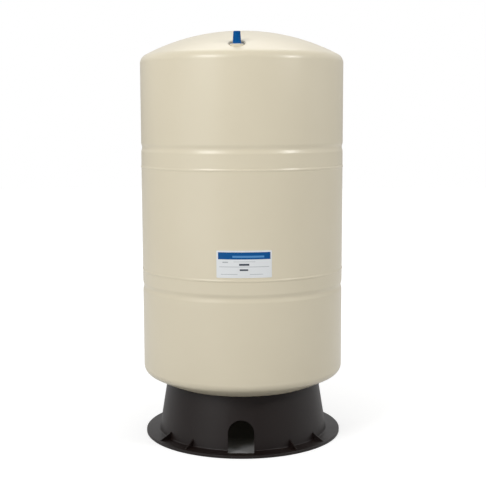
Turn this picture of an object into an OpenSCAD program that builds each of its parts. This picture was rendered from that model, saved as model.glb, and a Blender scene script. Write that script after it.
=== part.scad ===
// Floor-standing expansion vessel. A painted steel shell, made of two deep-drawn
// cups and a middle cylinder, holds a rubber diaphragm and a plastic liner. The
// water connection is underneath, the air valve is on the front of the dome, and
// a moulded stand with a doorway for the pipe carries the vessel.
// Millimetres, +Z up. The origin is on the floor, on the vessel's axis, and the
// stand's doorway faces -Y.

/* [Shell] */
// Outside diameter of the shell
shell_od = 390; // [370:1:430]
// Thickness of the shell's steel
shell_t = 2; // [1.2:0.1:3]
// Radius of the crown of each head
crown_r = 400; // [360:1:460]
// Radius of the knuckle between a head and the straight wall
knuckle_r = 18; // [17:0.5:30]
// Height of the shell's lowest point above the floor
shell_lift = 76; // [65:0.5:110]
// Height of the lower cup, from its crown to its seam
lower_cup_h = 252; // [220:1:340]
// Height of the middle cylinder, from seam to seam
middle_h = 197.5; // [120:0.5:400]
// Height of the upper cup, from its seam to its crown
upper_cup_h = 257.5; // [200:0.5:340]
// Distance of the lower cup's groove from its seam
lower_groove_inset = 32.5; // [28:0.5:60]
// Distance of the upper cup's groove from its seam
upper_groove_inset = 37; // [20:0.5:60]
// Width of a rolled groove
groove_w = 18; // [8:0.5:24]
// Depth of a rolled groove
groove_d = 1.7; // [1:0.1:4]
// Width of the weld bead at a seam
bead_w = 7; // [3:0.5:8]
// Height of the weld bead above the wall
bead_h = 0.8; // [0.5:0.1:2]

/* [Diaphragm and liner] */
// Thickness of the liner
liner_t = 1.5; // [1:0.1:2.5]
// Thickness of the diaphragm
diaphragm_t = 2.5; // [1.5:0.1:3.5]
// Height of the clamped band around the lower groove
clamp_h = 26; // [20:1:40]
// Thickness of the clench ring
clench_t = 2.5; // [1.5:0.1:4]
// Height over which the diaphragm leaves the wall below its clamped band
diaphragm_shoulder = 24; // [15:1:40]

/* [Water connection] */
// Outside diameter of the pipe thread
pipe_thread_od = 33.25; // [30:0.05:34]
// Length of the free pipe thread below its shoulder
pipe_thread_len = 30; // [20:1:36]
// Chamfer at the end of the pipe thread
pipe_chamfer = 1.5; // [0.5:0.1:2.5]
// Bore of the nipple
nipple_bore = 25; // [18:0.5:27]
// Diameter of the nipple's shank through the shell
nipple_shank_od = 36; // [35:0.5:40]
// Diameter of the nipple's flange inside the shell
nipple_flange_od = 62; // [58:1:68]
// Thickness of the nipple's flange
nipple_flange_t = 5; // [4:0.5:6]
// Diameter of the flat pressed into the lower crown for the connection
flat_od = 74; // [70:1:100]
// Middle diameter of the O-ring
o_ring_d = 48; // [46:0.5:52]
// Section of the O-ring
o_ring_section = 3; // [2:0.1:3.5]
// Thickness of the washer below the shell
nipple_washer_t = 2; // [1:0.5:4]
// Width across the flats of the lock nut
nipple_nut_af = 50; // [46:1:60]
// Height of the lock nut
nipple_nut_h = 9; // [6:0.5:12]
// Length of the shank that shows below the lock nut
nipple_shank_tail = 2; // [1:0.5:5]

/* [Air valve] */
// Distance of the valve's axis inside the shell's outline
valve_inset = 34.5; // [25:0.5:75]
// Angle of the valve about the vessel's axis, from the front
valve_turn = -2.9; // [-30:0.1:30]
// Height of the valve's seat above the dome at the valve's axis, negative where it is sunk
valve_seat_rise = -2.5; // [-6:0.5:6]
// Diameter of the boss that carries the valve
boss_od = 26.5; // [24:0.5:30]
// Thickness of the wall round the boss's pocket
boss_wall_t = 2; // [1.5:0.5:4]
// Depth of the boss below the dome's inner surface
boss_root = 3; // [1:0.5:8]
// Gap between the boss and the wall of its pocket
boss_pocket_gap = 1; // [0.5:0.5:3]
// Diameter of the stem's screwed shank
stem_shank_od = 10; // [8:0.5:14]
// Length of the stem's screwed shank
stem_shank_len = 12; // [8:1:16]
// Thickness of the washer under the stem
valve_washer_t = 1.2; // [0.8:0.1:3]
// Diameter of the washer under the stem
valve_washer_od = 25.5; // [20:0.5:29]
// Width across the flats of the stem's hexagon
stem_hex_af = 11; // [10:0.5:12.5]
// Height of the stem's hexagon
stem_hex_h = 3; // [2:0.5:5]
// Diameter of the stem above its hexagon
stem_od = 7.7; // [7:0.1:9]
// Length of the stem above its hexagon
stem_len = 13.8; // [13:0.1:20]
// Bore of the stem for the valve core
core_bore = 5.2; // [4.6:0.1:5.6]
// Bore of the air passage below the core
air_bore = 2.4; // [2:0.1:3]
// Length of the core's spring
spring_len = 3.4; // [3:0.1:5]
// Wire of the core's spring
spring_wire = 0.35; // [0.25:0.05:0.5]
// Turns of the core's spring
spring_turns = 4; // [3:1:5]
// Thickness of the pin's cup
core_cup_t = 1.2; // [0.8:0.1:2]
// Length of the core's barrel
barrel_len = 4.5; // [4:0.1:5]
// Thickness of the core's gasket
core_gasket_t = 1.5; // [1:0.1:2]
// Diameter of the core's pin
core_pin_od = 1.6; // [1.2:0.1:1.7]
// Depth of the core's barrel below the top of the stem
core_depth = 0.5; // [0.3:0.1:2]
// Height of the pin above the core's barrel
pin_rise = 0.3; // [0.1:0.1:0.4]
// Travel of the pin
pin_travel = 1.5; // [0.5:0.1:1.8]

/* [Valve cap] */
// Diameter of the cap at its foot
cap_od = 15; // [14.6:0.1:22]
// Diameter of the cap at its top
cap_top_od = 12.5; // [11:0.1:18]
// Height of the cap
cap_h = 22; // [21:0.5:32]
// Height of the plain band at the cap's foot
cap_band_h = 3.5; // [2:0.5:6]
// Rounding of the cap's top edge
cap_edge = 1.2; // [0.5:0.1:2]
// Number of grip flutes
cap_flutes = 18; // [8:1:24]
// Radius of a grip flute
flute_r = 0.6; // [0.3:0.1:0.8]
// Plain length at each end of a flute
flute_end_gap = 1; // [0.5:0.1:2]
// Thickness of the seal in the cap
cap_seal_t = 1.5; // [1:0.1:2]

/* [Stand] */
// Distance of the skirt's top inside the shell's outline
skirt_top_inset = 45.5; // [36:0.5:60]
// Distance of the skirt's foot inside the shell's outline
skirt_foot_inset = 29.5; // [20:0.5:34]
// Thickness of the skirt
skirt_t = 3.2; // [2.5:0.1:5]
// Distance of the flange's rim inside the shell's outline
flange_inset = 3; // [-10:0.5:8]
// Thickness of the flange
flange_t = 5.5; // [3:0.5:8]
// Bevel of the flange's edge
flange_bevel = 0.8; // [0.5:0.1:3.5]
// Height of the flange's upright edge below its bevel
flange_lip = 4.7; // [0.5:0.1:7]
// Width of the seat under the shell
seat_w = 8; // [5:0.5:14]
// Height of the seat
seat_h = 12; // [8:0.5:18]
// Width of the doorway
door_w = 49; // [36:1:60]
// Height of the doorway above the floor
door_h = 61.5; // [50:0.5:66]
// Width of the sill cut into the flange in front of the doorway
door_sill = 10.5; // [4:0.5:14]
// Pairs of ribs round the skirt, with the doorway between two pairs
rib_pairs = 4; // [2:1:6]
// Angle between the two ribs of a pair
rib_pair_angle = 22.5; // [10:0.5:40]
// Thickness of a rib
rib_t = 3; // [2:0.5:5]
// Height of a rib above the flange
rib_h = 13.5; // [8:0.5:30]
// Height of a rib's outer end
rib_toe = 0.5; // [0.5:0.1:3]
// Distance of a rib's outer end inside the flange's rim
rib_inset = 4.5; // [1:0.5:10]
// Angle by which the stand is turned from the front
stand_turn = -1.25; // [-10:0.25:10]

/* [Stand fixings] */
// Number of studs that hold the stand
stud_count = 3; // [3:1:6]
// Distance of a stud's axis inside the skirt's top
stud_inset = 19.5; // [16:0.5:34]
// Diameter of a stud
stud_od = 6; // [5:0.5:8]
// Width of the lug that a stud passes through
lug_w = 22; // [18:1:30]
// Thickness of a lug
lug_t = 5; // [3:0.5:8]
// Gap between a lug and the shell
lug_gap = 4; // [2:0.5:10]
// Diameter of a stud's washer
stud_washer_od = 16; // [12:0.5:18]
// Thickness of a stud's washer
stud_washer_t = 1.6; // [1:0.1:2.5]
// Width across the flats of a stud's nut
stud_nut_af = 10; // [9:0.5:15]
// Height of a stud's nut
stud_nut_h = 5; // [4:0.5:8]
// Length of a stud that shows below its nut
stud_tail = 3; // [1:0.5:8]

/* [Label] */
// Width of the label along the wall
label_w = 100; // [60:1:160]
// Height of the label
label_h = 49; // [30:1:100]
// Thickness of the label
label_t = 0.25; // [0.1:0.05:0.5]
// Height of the label above the lower seam
label_lift = 6.5; // [4:0.5:20]
// Angle of the label about the vessel's axis, from the front
label_turn = 1; // [-30:0.5:30]

/* [Fits] */
// Gap between pieces that are fixed to each other along a curved face
fixed_gap = 0.05; // [0.02:0.01:0.1]
// Gap between the liner and the shell
liner_gap = 0.1; // [0.05:0.05:0.3]
// Gap on each side of the diaphragm's clamped band
clamp_gap = 0.3; // [0.3:0.05:0.5]
// Gap between the diaphragm and the nipple's flange
diaphragm_gap = 1; // [0.5:0.1:2]
// Radial clearance of the cap's thread
cap_clear = 0.1; // [0.05:0.05:0.2]
// Radial clearance of the cap round the stem's hexagon
cap_hex_clear = 0.2; // [0.1:0.05:0.3]
// Gap under and inside the cap, at its seats
cap_seat_gap = 0.1; // [0.05:0.05:0.3]
// Radial clearance of the core's barrel and gasket in the stem
core_clear = 0.05; // [0.03:0.01:0.08]
// Radial clearance of the core's moving pieces
pin_clear = 0.15; // [0.1:0.05:0.2]
// Gap for the air round the pin's cup
cup_clear = 0.6; // [0.3:0.1:0.8]
// Gap between the core's moving pieces, along the axis
pin_gap = 0.1; // [0.05:0.05:0.2]
// Radial clearance of a stud in its lug
stud_clear = 0.4; // [0.2:0.1:0.8]

/* [Hidden] */
$fn = 96;
crown_steps = 20;
bend_steps = 8;
groove_steps = 12;
bead_steps = 6;
edge_steps = 4;
spring_sides = 6;
spring_rings = 12;
overrun = 1;

// Shell levels, and the head's shape
shell_r = shell_od / 2;
bend_r = shell_r - knuckle_r;
crown_drop = sqrt(pow(crown_r - knuckle_r, 2) - pow(bend_r, 2));
head_h = crown_r - crown_drop;
bend_start = atan2(bend_r, crown_drop);
lower_seam_z = shell_lift + lower_cup_h;
upper_seam_z = lower_seam_z + middle_h;
shell_top_z = upper_seam_z + upper_cup_h;

// Heights in the lower cup, above its crown
lower_groove_h = lower_cup_h - lower_groove_inset;
upper_groove_h = upper_cup_h - upper_groove_inset;
clamp_low_h = lower_groove_h - clamp_h / 2;
clamp_top_h = lower_groove_h + clamp_h / 2;

// Depths below the shell's outer surface
liner_in = shell_t + liner_gap;
band_in = liner_in + liner_t + clamp_gap;
clench_in = band_in + diaphragm_t + clamp_gap;
flat_r = flat_od / 2;
flat_sag = crown_r - sqrt(pow(crown_r, 2) - pow(flat_r, 2));
bowl_in = flat_sag + liner_in + liner_t + nipple_flange_t + diaphragm_gap;

// Water connection levels
flat_z = shell_lift + flat_sag;
nipple_flange_z = shell_lift + head_flat(liner_in + liner_t);
nipple_nut_z = flat_z - nipple_washer_t - nipple_nut_h;
pipe_top_z = nipple_nut_z - nipple_shank_tail;
pipe_end_z = pipe_top_z - pipe_thread_len;

// Air valve levels
valve_reach = shell_r - valve_inset;
valve_seat_z = dome_z(valve_reach) + valve_seat_rise;
boss_r = boss_od / 2;
pocket_r = boss_r + boss_pocket_gap;
boss_wall_r = pocket_r + boss_wall_t;
boss_foot_z = dome_z(valve_reach + boss_wall_r) - shell_t - boss_root;
stem_hex_z = valve_seat_z + valve_washer_t;
stem_tube_z = stem_hex_z + stem_hex_h;
stem_top_z = stem_tube_z + stem_len;
stem_hex_r = stem_hex_af / 2 / cos(30);

// Valve core levels, from the top of the stem down
barrel_top_z = stem_top_z - core_depth;
gasket_z = barrel_top_z - barrel_len - core_gasket_t;
cup_top_z = gasket_z - pin_gap;
cup_z = cup_top_z - core_cup_t;
spring_top_z = cup_z - pin_gap;
spring_z = spring_top_z - spring_len;
pin_r = core_pin_od / 2;
core_r = core_bore / 2 - core_clear;
cup_r = core_bore / 2 - cup_clear;
spring_r = pin_r + pin_clear + spring_wire / 2;

// Cap levels
cap_z = stem_hex_z + cap_seat_gap;
cap_seal_z = stem_top_z + cap_seat_gap;
cap_thread_r = stem_od / 2 + cap_clear;
cap_hex_r = stem_hex_r + cap_hex_clear;

// Stand levels
skirt_top_r = shell_r - skirt_top_inset;
skirt_foot_r = shell_r - skirt_foot_inset;
flange_r = shell_r - flange_inset;
stud_reach = skirt_top_r - stud_inset;
skirt_top_z = dish_z(skirt_top_r);
lug_top_z = dish_z(stud_reach - lug_w / 2) - lug_gap;
lug_z = lug_top_z - lug_t;
stud_washer_z = lug_z - stud_washer_t;
stud_nut_z = stud_washer_z - stud_nut_h;
stud_end_z = stud_nut_z - stud_tail;
stud_hole_r = stud_od / 2 + stud_clear;
stud_wall_r = stud_od / 2 + fixed_gap;

// Height of the dome's outer surface at a distance from the axis
function dome_z(r) = shell_top_z - crown_r + sqrt(pow(crown_r, 2) - pow(r, 2));

// Height of the lower dish's outer surface at a distance from the axis
function dish_z(r) = shell_lift + crown_r - sqrt(pow(crown_r, 2) - pow(r, 2));

// Height of the connection's flat above the crown, at a depth below the outer surface
function head_flat(depth) = crown_r - sqrt(pow(crown_r - depth, 2) - pow(flat_r, 2));

// Outer radius of the skirt at a height
function skirt_r(z) =
    skirt_foot_r + (skirt_top_r - skirt_foot_r) * (z - flange_t) / (skirt_top_z - flange_t);

function reversed(list) = [for (i = [len(list) - 1 : -1 : 0]) list[i]];
function tail(list) = [for (i = [1 : len(list) - 1]) list[i]];

// Points of an arc about (r, z); angles start at straight down and open outwards
function arc(r, z, radius, from, to, steps) =
    [for (i = [0 : steps])
        let (a = from + (to - from) * i / steps)
        [r + radius * sin(a), z - radius * cos(a)]];

// A head's curve at a depth below the outer surface, from the axis to the straight wall
function head_line(depth, flat) =
    let (first = asin(flat / (crown_r - depth)))
    concat(
        flat > 0 ? [[0, crown_r - (crown_r - depth) * cos(first)]] : [],
        arc(0, crown_r, crown_r - depth, first, bend_start, crown_steps),
        tail(arc(bend_r, head_h, knuckle_r - depth, bend_start, 90, bend_steps)));

// The straight wall's curve through a rolled groove
function groove_line(depth, height) =
    [for (i = [0 : groove_steps])
        let (u = i / groove_steps)
        [shell_r - depth - groove_d / 2 * (1 - cos(360 * u)), height + groove_w * (u - 0.5)]];

// One flank of a weld bead, climbing to the seam from below (way 1) or from above (way -1)
function bead_line(height, way) =
    [for (i = [0 : bead_steps])
        let (u = i / bead_steps)
        [shell_r + bead_h / 2 * (1 - cos(180 * u)), height - way * bead_w / 2 * (1 - u)]];

// The clamped band's curve at a depth below the outer surface
function band_line(depth) =
    concat([[shell_r - depth, clamp_low_h]],
           groove_line(depth, lower_groove_h),
           [[shell_r - depth, clamp_top_h]]);

// Turns a closed outline into a solid of revolution
module lathe(outline) {
    rotate_extrude() polygon(outline);
}

module on_lower_cup() {
    translate([0, 0, shell_lift]) children();
}

module at_valve() {
    rotate([0, 0, valve_turn]) translate([0, -valve_reach, 0]) children();
}

module at_studs() {
    for (i = [0 : stud_count - 1])
        rotate([0, 0, stand_turn + (i + 0.5) * 360 / stud_count])
            translate([0, -stud_reach, 0]) children();
}

// A tube or ring between two heights
module ring(outer_r, inner_r, low, high) {
    difference() {
        translate([0, 0, low]) cylinder(r = outer_r, h = high - low);
        translate([0, 0, low - overrun]) cylinder(r = inner_r, h = high - low + 2 * overrun);
    }
}

// A six-sided nut between two heights
module hex_nut(across_flats, hole_r, low, high) {
    difference() {
        translate([0, 0, low]) cylinder(r = across_flats / 2 / cos(30), h = high - low, $fn = 6);
        translate([0, 0, low - overrun]) cylinder(r = hole_r, h = high - low + 2 * overrun);
    }
}

// The ball that the dome's outer surface is part of
module dome_ball() {
    translate([0, 0, shell_top_z - crown_r]) sphere(r = crown_r);
}

// The ball that the lower dish's outer surface is part of, with the fixing gap
module dish_ball() {
    translate([0, 0, shell_lift + crown_r]) sphere(r = crown_r + fixed_gap);
}

module cup(cup_h, groove_h, flat) {
    outside = concat(head_line(0, flat), groove_line(0, groove_h), bead_line(cup_h, 1));
    inside = concat(head_line(shell_t, flat), groove_line(shell_t, groove_h),
                    [[shell_r - shell_t, cup_h]]);
    lathe(concat(outside, reversed(inside)));
}

module upper_shell() {
    color("wheat")
    difference() {
        translate([0, 0, shell_top_z]) mirror([0, 0, 1]) cup(upper_cup_h, upper_groove_h, 0);
        at_valve() translate([0, 0, boss_foot_z])
            cylinder(r = boss_wall_r + fixed_gap, h = shell_top_z - boss_foot_z);
    }
}

module middle_shell() {
    color("wheat")
    lathe(concat(
        [[shell_r - shell_t, lower_seam_z]],
        reversed(bead_line(lower_seam_z, -1)),
        bead_line(upper_seam_z, 1),
        [[shell_r - shell_t, upper_seam_z]]));
}

module lower_shell() {
    color("wheat")
    difference() {
        on_lower_cup() cup(lower_cup_h, lower_groove_h, flat_r);
        cylinder(r = nipple_shank_od / 2 + fixed_gap, h = lower_seam_z);
    }
}

module liner() {
    outside = concat(head_line(liner_in, flat_r), groove_line(liner_in, lower_groove_h),
                     [[shell_r - liner_in, clamp_top_h]]);
    inside = concat(head_line(liner_in + liner_t, flat_r),
                    groove_line(liner_in + liner_t, lower_groove_h),
                    [[shell_r - liner_in - liner_t, clamp_top_h]]);
    color("ghostwhite")
    difference() {
        on_lower_cup() lathe(concat(outside, reversed(inside)));
        cylinder(r = nipple_shank_od / 2 + fixed_gap, h = lower_seam_z);
    }
}

module diaphragm() {
    shoulder_h = clamp_low_h - diaphragm_shoulder;
    outside = concat(head_line(bowl_in, 0), [[shell_r - bowl_in, shoulder_h]], band_line(band_in));
    inside = concat(head_line(bowl_in + diaphragm_t, 0), [[shell_r - bowl_in - diaphragm_t, shoulder_h]],
                    band_line(band_in + diaphragm_t));
    color("dimgray") on_lower_cup() lathe(concat(outside, reversed(inside)));
}

module clench_ring() {
    color("silver") on_lower_cup()
        lathe(concat(band_line(clench_in), reversed(band_line(clench_in + clench_t))));
}

module water_nipple() {
    bore_r = nipple_bore / 2;
    thread_r = pipe_thread_od / 2;
    shank_r = nipple_shank_od / 2;
    flange_top_z = nipple_flange_z + nipple_flange_t;
    groove_in_r = o_ring_d / 2 - o_ring_section / 2 - fixed_gap;
    groove_out_r = o_ring_d / 2 + o_ring_section / 2 + fixed_gap;
    groove_top_z = nipple_flange_z + o_ring_section + fixed_gap;
    color("lightgray")
    lathe([
        [bore_r, pipe_end_z], [thread_r - pipe_chamfer, pipe_end_z], [thread_r, pipe_end_z + pipe_chamfer],
        [thread_r, pipe_top_z], [shank_r, pipe_top_z], [shank_r, nipple_flange_z],
        [groove_in_r, nipple_flange_z], [groove_in_r, groove_top_z],
        [groove_out_r, groove_top_z], [groove_out_r, nipple_flange_z],
        [nipple_flange_od / 2, nipple_flange_z], [nipple_flange_od / 2, flange_top_z],
        [bore_r, flange_top_z]]);
}

module nipple_o_ring() {
    color("black")
    translate([0, 0, nipple_flange_z + o_ring_section / 2])
        rotate_extrude() translate([o_ring_d / 2, 0]) circle(d = o_ring_section);
}

module nipple_washer() {
    color("silver")
    ring(nipple_flange_od / 2, nipple_shank_od / 2 + fixed_gap, flat_z - nipple_washer_t, flat_z);
}

module nipple_nut() {
    color("silver")
    hex_nut(nipple_nut_af, nipple_shank_od / 2 + fixed_gap, nipple_nut_z, nipple_nut_z + nipple_nut_h);
}

module valve_boss() {
    color("wheat")
    difference() {
        union() {
            intersection() {
                at_valve() translate([0, 0, boss_foot_z])
                    cylinder(r = boss_wall_r, h = shell_top_z - boss_foot_z);
                dome_ball();
            }
            at_valve() translate([0, 0, boss_foot_z])
                cylinder(r = boss_r, h = valve_seat_z - boss_foot_z);
        }
        at_valve() translate([0, 0, valve_seat_z])
            cylinder(r = pocket_r, h = shell_top_z - valve_seat_z);
        at_valve() translate([0, 0, boss_foot_z - overrun])
            cylinder(r = stem_shank_od / 2 + fixed_gap, h = valve_seat_z - boss_foot_z + 2 * overrun);
    }
}

module valve_washer() {
    color("black") at_valve()
        ring(valve_washer_od / 2, stem_shank_od / 2 + fixed_gap, valve_seat_z, stem_hex_z);
}

module valve_stem() {
    shank_z = valve_seat_z - stem_shank_len;
    color("goldenrod") at_valve()
    difference() {
        union() {
            translate([0, 0, shank_z]) cylinder(d = stem_shank_od, h = stem_hex_z - shank_z);
            translate([0, 0, stem_hex_z]) cylinder(r = stem_hex_r, h = stem_hex_h, $fn = 6);
            translate([0, 0, stem_tube_z]) cylinder(d = stem_od, h = stem_len);
        }
        translate([0, 0, shank_z - overrun]) cylinder(d = air_bore, h = stem_top_z - shank_z);
        translate([0, 0, spring_z]) cylinder(d = core_bore, h = stem_top_z - spring_z + overrun);
    }
}

module core_barrel() {
    color("gold") at_valve()
        ring(core_r, pin_r + pin_clear, barrel_top_z - barrel_len, barrel_top_z);
}

module core_gasket() {
    color("firebrick") at_valve()
        ring(core_r, pin_r + pin_clear, gasket_z, gasket_z + core_gasket_t);
}

module core_pin() {
    color("silver") at_valve()
    translate([0, 0, cup_top_z]) cylinder(r = pin_r, h = barrel_top_z + pin_rise - cup_top_z);
}

module core_cup() {
    stalk_z = spring_z + pin_travel;
    color("gold") at_valve() {
        translate([0, 0, cup_z]) cylinder(r = cup_r, h = core_cup_t);
        translate([0, 0, stalk_z]) cylinder(r = pin_r - pin_clear, h = cup_z - stalk_z);
    }
}

// Point of the spring's wire: the place along the coil, and the angle round the wire
function spring_point(turn, side) =
    let (a = 360 * turn, b = 360 * side / spring_sides, half = spring_wire / 2)
    let (reach = spring_r + half * cos(b), rise = spring_len - spring_wire)
    [reach * cos(a), reach * sin(a), half + rise * turn / spring_turns + half * sin(b)];

module core_spring() {
    rings = spring_rings * spring_turns;
    points = [for (i = [0 : rings]) for (s = [0 : spring_sides - 1]) spring_point(i / spring_rings, s)];
    walls = [for (i = [0 : rings - 1]) for (s = [0 : spring_sides - 1])
        let (a = i * spring_sides + s, b = i * spring_sides + (s + 1) % spring_sides)
        each [[a, a + spring_sides, b], [b, a + spring_sides, b + spring_sides]]];
    last = rings * spring_sides;
    caps = [for (s = [1 : spring_sides - 2]) each [[0, s, s + 1], [last, last + s + 1, last + s]]];
    color("silver") at_valve() translate([0, 0, spring_z]) polyhedron(points, concat(walls, caps));
}

module cap_seal() {
    color("black") at_valve()
    translate([0, 0, cap_seal_z]) cylinder(r = stem_od / 2, h = cap_seal_t);
}

module valve_cap() {
    foot_r = cap_od / 2;
    top_r = cap_top_od / 2;
    top_z = cap_z + cap_h;
    band_z = cap_z + cap_band_h;
    edge_z = top_z - cap_edge;
    taper = atan2(foot_r - top_r, edge_z - band_z);
    flute_z = band_z + flute_end_gap;
    flute_len = edge_z - band_z - 2 * flute_end_gap;
    flute_foot_r = foot_r - flute_end_gap * tan(taper);
    seal_top_z = cap_seal_z + cap_seal_t + cap_seat_gap;
    hex_top_z = stem_tube_z + cap_seat_gap;
    round_edge = [for (i = [0 : edge_steps])
        let (a = 90 * i / edge_steps)
        [top_r - cap_edge * (1 - cos(a)), top_z - cap_edge * (1 - sin(a))]];
    color("steelblue") at_valve()
    difference() {
        lathe(concat([[0, cap_z], [foot_r, cap_z], [foot_r, band_z]], round_edge, [[0, top_z]]));
        translate([0, 0, cap_z - overrun]) cylinder(r = cap_thread_r, h = seal_top_z - cap_z + overrun);
        translate([0, 0, cap_z - overrun]) cylinder(r = cap_hex_r, h = hex_top_z - cap_z + overrun);
        for (i = [0 : cap_flutes - 1])
            rotate([0, 0, i * 360 / cap_flutes]) translate([flute_foot_r, 0, flute_z])
                rotate([0, -taper, 0]) cylinder(r = flute_r, h = flute_len);
    }
}

module stand_profile() {
    inner_foot_r = skirt_foot_r - skirt_t;
    seat_in_r = skirt_top_r - seat_w;
    seat_under_z = skirt_top_z - seat_h;
    haunch_z = seat_under_z - seat_w;
    polygon([
        [inner_foot_r, 0], [flange_r, 0], [flange_r, flange_lip], [flange_r - flange_bevel, flange_t],
        [skirt_foot_r, flange_t], [skirt_top_r, skirt_top_z], [seat_in_r, skirt_top_z],
        [seat_in_r, seat_under_z], [skirt_r(haunch_z) - skirt_t, haunch_z], [inner_foot_r, flange_t]]);
}

module stand_rib() {
    foot_r = flange_r - rib_inset;
    top_z = flange_t + rib_h;
    sunk_z = flange_t / 2;
    translate([rib_t / 2, 0, 0]) rotate([90, 0, -90]) linear_extrude(rib_t)
        polygon([
            [skirt_r(sunk_z) - skirt_t / 2, sunk_z], [foot_r, sunk_z], [foot_r, flange_t + rib_toe],
            [skirt_r(top_z), top_z], [skirt_r(top_z) - skirt_t / 2, top_z]]);
}

module stand_lug() {
    wall_r = skirt_r(lug_top_z) - skirt_t / 2;
    difference() {
        translate([-lug_w / 2, stud_reach - wall_r, lug_z])
            cube([lug_w, wall_r - stud_reach + lug_w / 2, lug_t]);
        translate([0, 0, lug_z - overrun]) cylinder(r = stud_hole_r, h = lug_t + 2 * overrun);
    }
}

module stand_doorway() {
    reach = skirt_foot_r + door_sill;
    depth = reach - skirt_top_r + seat_w + skirt_t;
    arch_z = door_h - door_w / 2;
    translate([0, depth - reach, 0]) rotate([90, 0, 0]) linear_extrude(depth) {
        translate([-door_w / 2, -overrun]) square([door_w, arch_z + overrun]);
        translate([0, arch_z]) circle(d = door_w);
    }
}

module stand() {
    color("dimgray")
    difference() {
        union() {
            rotate_extrude() stand_profile();
            for (i = [0 : rib_pairs - 1], side = [-1, 1])
                rotate([0, 0, stand_turn + (i + 0.5) * 360 / rib_pairs + side * rib_pair_angle / 2])
                    stand_rib();
            at_studs() stand_lug();
        }
        rotate([0, 0, stand_turn]) stand_doorway();
        dish_ball();
    }
}

module stand_studs() {
    stud_top_z = dish_z(stud_reach + stud_od);
    color("silver")
    difference() {
        at_studs() translate([0, 0, stud_end_z]) cylinder(d = stud_od, h = stud_top_z - stud_end_z);
        dish_ball();
    }
}

module stand_washers() {
    color("silver") at_studs() ring(stud_washer_od / 2, stud_wall_r, stud_washer_z, lug_z);
}

module stand_nuts() {
    color("silver") at_studs() hex_nut(stud_nut_af, stud_wall_r, stud_nut_z, stud_washer_z);
}

module rating_label() {
    angle = label_w / shell_r * 180 / PI;
    label_z = lower_seam_z + label_lift;
    color("white")
    rotate([0, 0, label_turn - 90 - angle / 2]) rotate_extrude(angle = angle)
        translate([shell_r + fixed_gap, label_z]) square([label_t, label_h]);
}

upper_shell();
middle_shell();
lower_shell();
liner();
diaphragm();
clench_ring();
water_nipple();
nipple_o_ring();
nipple_washer();
nipple_nut();
valve_boss();
valve_washer();
valve_stem();
core_barrel();
core_gasket();
core_pin();
core_cup();
core_spring();
cap_seal();
valve_cap();
stand();
stand_studs();
stand_washers();
stand_nuts();
rating_label();
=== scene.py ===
"""Floor-standing expansion vessel: fine meshes, finishes, light and camera around its CAD frame."""

import math

import bmesh
import bpy
from mathutils import Matrix, Vector


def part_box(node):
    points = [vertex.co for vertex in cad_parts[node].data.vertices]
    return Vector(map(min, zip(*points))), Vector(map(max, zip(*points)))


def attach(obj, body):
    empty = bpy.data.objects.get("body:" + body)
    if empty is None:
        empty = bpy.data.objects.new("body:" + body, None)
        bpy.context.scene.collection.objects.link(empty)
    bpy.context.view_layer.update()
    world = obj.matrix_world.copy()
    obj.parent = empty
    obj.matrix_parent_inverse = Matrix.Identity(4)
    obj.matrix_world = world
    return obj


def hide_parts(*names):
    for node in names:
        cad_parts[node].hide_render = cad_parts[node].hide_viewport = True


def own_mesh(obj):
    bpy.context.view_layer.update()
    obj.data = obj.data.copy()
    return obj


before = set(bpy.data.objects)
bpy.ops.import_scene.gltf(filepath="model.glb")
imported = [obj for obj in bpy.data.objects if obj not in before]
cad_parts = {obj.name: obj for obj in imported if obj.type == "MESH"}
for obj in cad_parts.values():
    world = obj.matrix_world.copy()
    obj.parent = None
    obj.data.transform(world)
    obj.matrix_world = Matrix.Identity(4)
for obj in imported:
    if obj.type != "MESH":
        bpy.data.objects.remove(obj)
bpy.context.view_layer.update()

MM = 0.001
TAU = 2 * math.pi

# Steel shell
SHELL_T = 2 * MM
CROWN_R = 400 * MM
KNUCKLE_R = 18 * MM
GROOVE_W = 18 * MM
GROOVE_D = 1.7 * MM
LOWER_GROOVE_INSET = 32.5 * MM
UPPER_GROOVE_INSET = 37 * MM
BEAD_W = 7 * MM
BEAD_H = 0.8 * MM
FLAT_R = 37 * MM
FIXED_GAP = 0.05 * MM

middle_low, middle_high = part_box("middle_shell")
SHELL_R = middle_high.x - BEAD_H
LOWER_SEAM_Z = middle_low.z
UPPER_SEAM_Z = middle_high.z
SHELL_TOP_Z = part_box("upper_shell")[1].z
FLAT_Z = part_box("lower_shell")[0].z
FLAT_SAG = CROWN_R - math.sqrt(CROWN_R ** 2 - FLAT_R ** 2)
SHELL_LOW_Z = FLAT_Z - FLAT_SAG
BEND_R = SHELL_R - KNUCKLE_R
CROWN_DROP = math.sqrt((CROWN_R - KNUCKLE_R) ** 2 - BEND_R ** 2)
HEAD_H = CROWN_R - CROWN_DROP
BEND_START = math.atan2(BEND_R, CROWN_DROP)

# Diaphragm
DIAPHRAGM_T = 2.5 * MM
CLAMP_H = 26 * MM
CLAMP_DEPTH = 3.9 * MM
BOWL_SHOULDER = 24 * MM
diaphragm_low, diaphragm_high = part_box("diaphragm")
BOWL_DEPTH = diaphragm_low.z - SHELL_LOW_Z

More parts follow.
